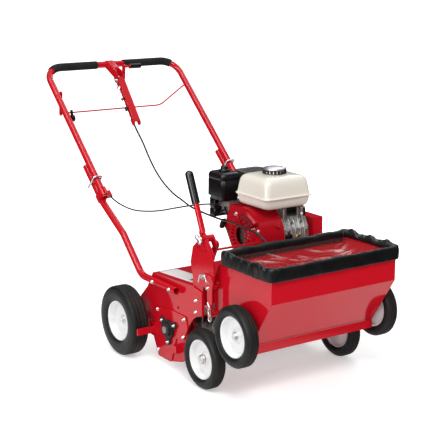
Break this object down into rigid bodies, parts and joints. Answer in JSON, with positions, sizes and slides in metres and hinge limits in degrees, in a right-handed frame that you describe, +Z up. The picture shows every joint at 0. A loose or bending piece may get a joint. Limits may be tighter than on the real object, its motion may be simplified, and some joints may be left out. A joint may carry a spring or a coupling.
{
  "type": "walk-behind overseeder",
  "caption": "Walk-behind overseeder: petrol engine over a slicing reel, wheeled seed hopper in front with a soft cover, depth lever, and a tube handle with a bail and seed lever.",
  "frame": {"origin": "middle of the footprint of the whole machine, on the ground", "axes": "+Z up, -Y to the front where the seed hopper is, +X to the machine's left side"},
  "size_m": [0.754, 1.474, 0.987],
  "materials": {
    "red_paint": "glossy powder coat",
    "white_paint": "glossy enamel",
    "tyre": "ribbed black rubber",
    "zinc": "zinc plated",
    "steel": "bare steel",
    "cast_black": "black painted casting",
    "engine_metal": "die cast",
    "cover_red": "deep red enamel on sheet steel",
    "tank_cream": "cream enamel",
    "cap_metal": "dull plated steel",
    "black_plastic": "moulded black plastic",
    "muffler_metal": "heat resistant dark grey",
    "foam": "black foam sleeve",
    "vinyl": "dipped black vinyl",
    "belt_rubber": "rubber belt",
    "cord_black": "plastic coated cable",
    "cover_fabric": "black woven fabric",
    "clear_film": "clear vinyl sheet",
    "switch_red": "red plastic"
  },
  "bodies": {
    "frame": {"deck": "red_paint", "side_plates": "red_paint", "hopper_brackets": "red_paint", "belt_guard": "red_paint", "lower_handle_tubes": "red_paint", "upper_handle": "red_paint", "seed_lever_bracket": "red_paint", "hopper_shell": "red_paint", "hopper_base": "red_paint", "hopper_arms": "red_paint", "rear_axle": "zinc", "frame_bolts": "zinc", "hitch_pins": "zinc", "bearings": "cast_black", "crankcase": "engine_metal", "cylinder": "engine_metal", "head_cover": "engine_metal", "carburettor": "engine_metal", "fan_cover": "cover_red", "recoil_cover": "cover_red", "fuel_tank": "tank_cream", "air_cleaner": "black_plastic", "spark_plug": "black_plastic", "muffler": "muffler_metal", "muffler_guard": "muffler_metal", "handle_grips": "foam", "drive_belt": "belt_rubber", "seed_cable": "cord_black", "throttle_cable": "cord_black"},
    "rear_wheel_right": {"rear_tyre_right": "tyre", "rear_rim_right": "white_paint"},
    "rear_wheel_left": {"rear_tyre_left": "tyre", "rear_rim_left": "white_paint"},
    "front_axle": {"front_axle": "red_paint"},
    "front_wheel_right": {"front_tyre_right": "tyre", "front_rim_right": "white_paint"},
    "front_wheel_left": {"front_tyre_left": "tyre", "front_rim_left": "white_paint"},
    "hopper_axle": {"hopper_tyres": "tyre", "hopper_rims": "white_paint", "agitator": "zinc"},
    "depth_lever": {"depth_lever": "red_paint", "depth_lever_grip": "vinyl"},
    "depth_link": {"depth_link": "red_paint"},
    "lever_knob": {"lever_knob": "zinc"},
    "seed_lever": {"seed_lever": "red_paint"},
    "pull_rod": {"pull_rod": "zinc"},
    "seed_gate": {"seed_gate": "zinc"},
    "bail": {"bail": "red_paint"},
    "hand_throttle": {"hand_throttle": "black_plastic"},
    "reel": {"reel": "steel", "reel_blades": "steel"},
    "crankshaft": {"crankshaft": "steel"},
    "recoil_grip": {"recoil_grip": "black_plastic"},
    "fuel_cap": {"fuel_cap": "cap_metal"},
    "throttle_lever": {"throttle_lever": "black_plastic"},
    "choke_lever": {"choke_lever": "black_plastic"},
    "stop_switch": {"stop_switch": "switch_red"},
    "hopper_cover": {"hopper_band": "cover_fabric", "hopper_film": "clear_film"}
  },
  "joints": [
    {"name": "rear_wheel_right_spin", "type": "hinge", "parent": "frame", "child": "rear_wheel_right", "pos_m": [-0.3425, 0.038, 0.127], "axis": [1, 0, 0], "continuous": true},
    {"name": "rear_wheel_left_spin", "type": "hinge", "parent": "frame", "child": "rear_wheel_left", "pos_m": [0.3425, 0.038, 0.127], "axis": [1, 0, 0], "continuous": true},
    {"name": "front_axle_swing", "type": "hinge", "parent": "frame", "child": "front_axle", "pos_m": [0, -0.251, 0.092], "axis": [-1, 0, 0], "range_deg": [0, 11.8]},
    {"name": "front_wheel_right_spin", "type": "hinge", "parent": "front_axle", "child": "front_wheel_right", "pos_m": [-0.289, -0.409, 0.102], "axis": [1, 0, 0], "continuous": true},
    {"name": "front_wheel_left_spin", "type": "hinge", "parent": "front_axle", "child": "front_wheel_left", "pos_m": [0.289, -0.409, 0.102], "axis": [1, 0, 0], "continuous": true},
    {"name": "hopper_axle_spin", "type": "hinge", "parent": "frame", "child": "hopper_axle", "pos_m": [0, -0.594, 0.233], "axis": [1, 0, 0], "continuous": true},
    {"name": "depth_lever_pivot", "type": "hinge", "parent": "frame", "child": "depth_lever", "pos_m": [0, -0.386, 0.507], "axis": [1, 0, 0], "range_deg": [0, 76]},
    {"name": "depth_link_pivot", "type": "hinge", "parent": "depth_lever", "child": "depth_link", "pos_m": [0, -0.40139, 0.4873], "axis": [-1, 0, 0], "range_deg": [0, 76]},
    {"name": "lever_knob_turn", "type": "hinge", "parent": "depth_lever", "child": "lever_knob", "pos_m": [-0.296, -0.386, 0.507], "axis": [-1, 0, 0], "range_deg": [0, 180]},
    {"name": "seed_lever_pivot", "type": "hinge", "parent": "frame", "child": "seed_lever", "pos_m": [-0.01, 0.639, 0.922], "axis": [1, 0, 0], "range_deg": [0, 40]},
    {"name": "pull_rod_slide", "type": "slide", "parent": "frame", "child": "pull_rod", "axis": [0, 0.6241, 0.7813], "range_m": [0, 0.0104]},
    {"name": "seed_gate_slide", "type": "slide", "parent": "frame", "child": "seed_gate", "axis": [-1, 0, 0], "range_m": [0, 0.0161]},
    {"name": "bail_pivot", "type": "hinge", "parent": "frame", "child": "bail", "pos_m": [0, 0.61745, 0.87678], "axis": [1, 0, 0], "range_deg": [0, 70]},
    {"name": "hand_throttle_turn", "type": "hinge", "parent": "frame", "child": "hand_throttle", "pos_m": [-0.28, 0.52722, 0.79467], "axis": [1, 0, 0], "range_deg": [0, 60]},
    {"name": "throttle_lever_turn", "type": "hinge", "parent": "frame", "child": "throttle_lever", "pos_m": [0.01, -0.09, 0.52], "axis": [1, 0, 0], "range_deg": [0, 30.1]},
    {"name": "choke_lever_turn", "type": "hinge", "parent": "frame", "child": "choke_lever", "pos_m": [0.01, -0.074, 0.508], "axis": [1, 0, 0], "range_deg": [0, 45]},
    {"name": "stop_switch_turn", "type": "hinge", "parent": "frame", "child": "stop_switch", "pos_m": [0.06, -0.3387, 0.4987], "axis": [0, -0.8988, 0.4384], "range_deg": [0, 45]},
    {"name": "reel_spin", "type": "hinge", "parent": "frame", "child": "reel", "pos_m": [0, -0.188, 0.145], "axis": [1, 0, 0], "continuous": true},
    {"name": "crankshaft_spin", "type": "hinge", "parent": "frame", "child": "crankshaft", "pos_m": [0.1, -0.247, 0.454], "axis": [1, 0, 0], "continuous": true},
    {"name": "recoil_grip_pull", "type": "slide", "parent": "frame", "child": "recoil_grip", "axis": [0, 0.8191, 0.5736], "range_m": [0, 0.06], "stiffness_N_per_m": 60, "springref_m": -0.08},
    {"name": "fuel_cap_turn", "type": "hinge", "parent": "frame", "child": "fuel_cap", "pos_m": [0.096, -0.27, 0.69], "axis": [0, 0, 1], "range_deg": [0, 90]},
    {"name": "hopper_cover_lift", "type": "slide", "parent": "frame", "child": "hopper_cover", "axis": [0, 0, 1], "range_m": [0, 0.084]}
  ],
  "couplings": [
    {"joint": "depth_lever_pivot", "follows": "front_axle_swing", "ratio": 6.44},
    {"joint": "depth_link_pivot", "follows": "front_axle_swing", "ratio": 6.44},
    {"joint": "crankshaft_spin", "follows": "reel_spin", "ratio": 1.5714},
    {"joint": "pull_rod_slide", "follows": "seed_lever_pivot", "m_per_rad": 0.0147},
    {"joint": "seed_gate_slide", "follows": "seed_lever_pivot", "m_per_rad": 0.0229},
    {"joint": "throttle_lever_turn", "follows": "hand_throttle_turn", "ratio": 0.5}
  ]
}
